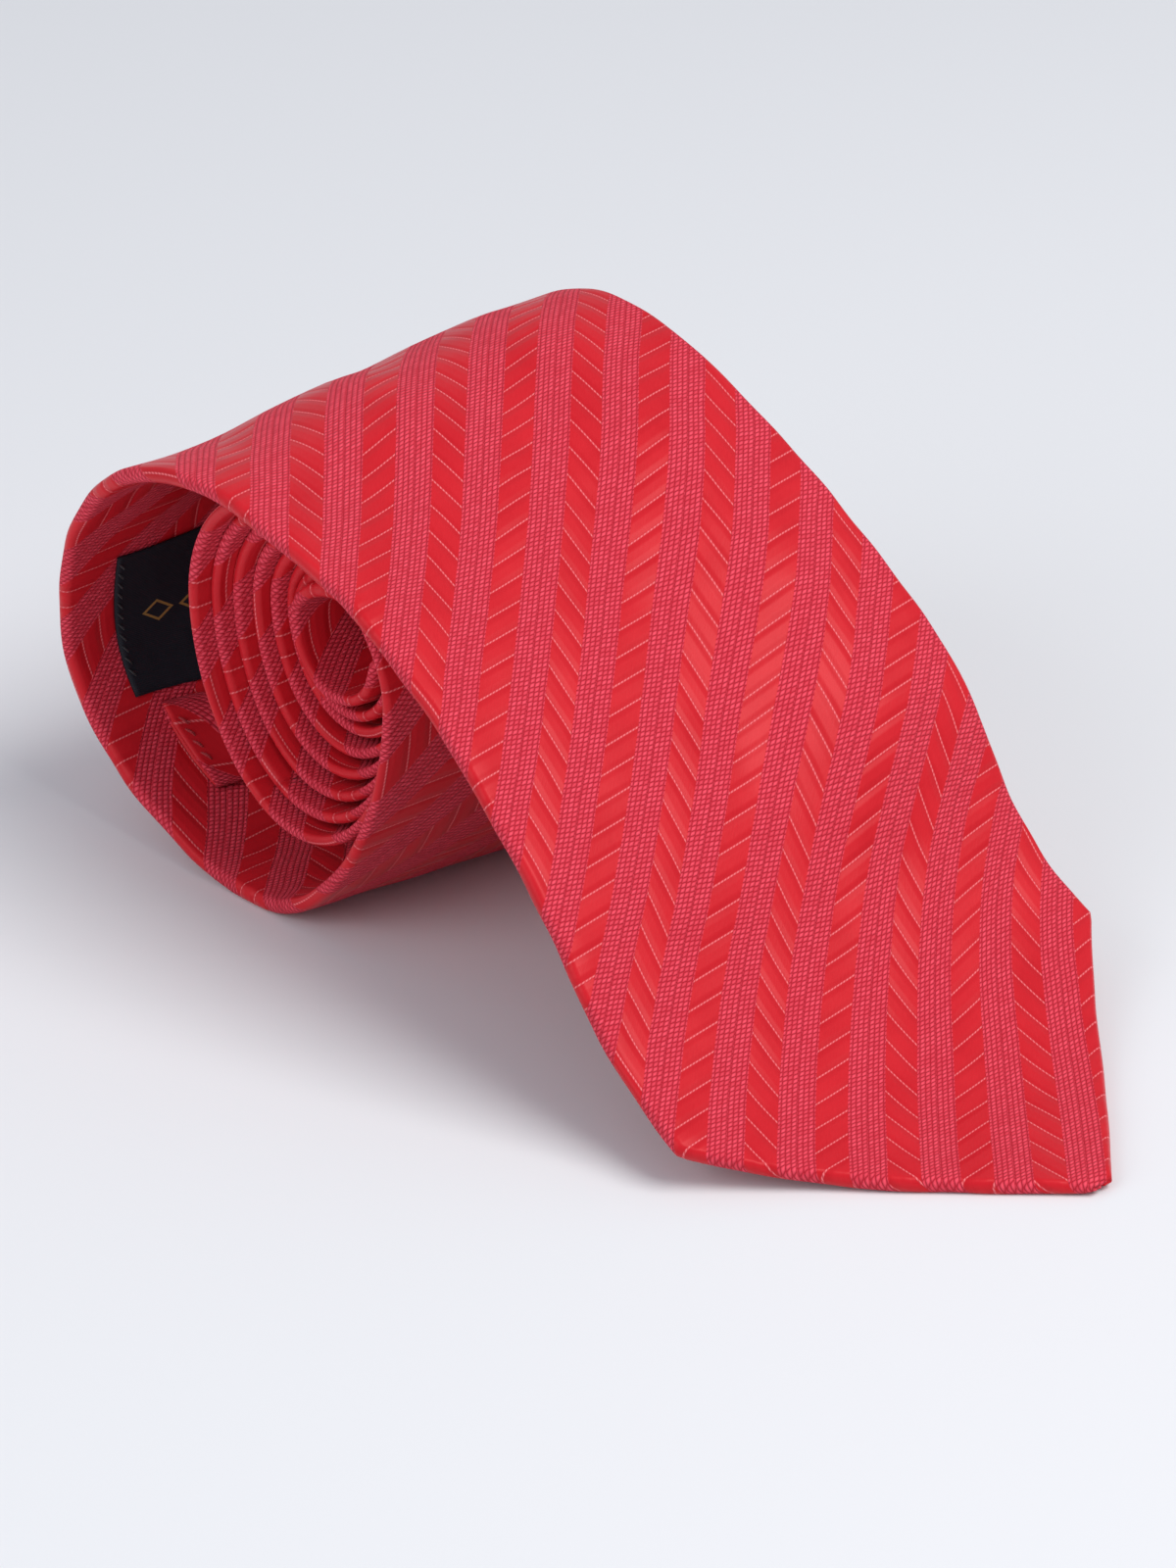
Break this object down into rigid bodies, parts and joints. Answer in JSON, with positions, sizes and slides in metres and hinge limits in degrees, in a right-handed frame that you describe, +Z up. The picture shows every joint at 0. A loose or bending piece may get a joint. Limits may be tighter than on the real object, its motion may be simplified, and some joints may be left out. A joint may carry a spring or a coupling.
{
  "type": "necktie",
  "caption": "Patterned necktie rolled up from its narrow tail, with the wide pointed blade draping down off the top of the roll.",
  "frame": {"origin": "centre of the bounding box at the level the tie lies on", "axes": "+X toward the blade's point, +Y along the roll's axis to the end turned away from the label's near edge, +Z up"},
  "size_m": [0.1862, 0.087, 0.0766],
  "materials": {
    "face_fabric": "bias-striped satin and basket weave, soft sheen",
    "interlining": "brushed wool blend, matte",
    "tipping": "plain satin lining",
    "label": "woven damask tape, matte",
    "label_thread": "cotton thread, matte",
    "red_thread": "silk thread, satin"
  },
  "bodies": {
    "roll": {"blade_shell_rolled": "face_fabric", "neck_shell": "face_fabric", "tail_shell": "face_fabric", "interlining_rolled": "interlining", "interlining_tail": "interlining", "tail_tipping": "tipping", "keeper_label": "label", "keeper_loop": "face_fabric", "label_stitch_near": "label_thread", "label_stitch_far": "label_thread", "loop_tack_near": "red_thread", "loop_tack_far": "red_thread", "blade_bar_tack": "red_thread", "tail_bar_tack": "red_thread", "slip_stitch": "red_thread"},
    "blade_flap": {"blade_shell_free": "face_fabric", "interlining_free": "interlining", "blade_tipping": "tipping"}
  },
  "joints": [
    {"name": "blade_lift", "type": "hinge", "parent": "roll", "child": "blade_flap", "pos_m": [0.00048, 0, 0.0519], "axis": [0, -1, 0], "range_deg": [0, 60]}
  ]
}
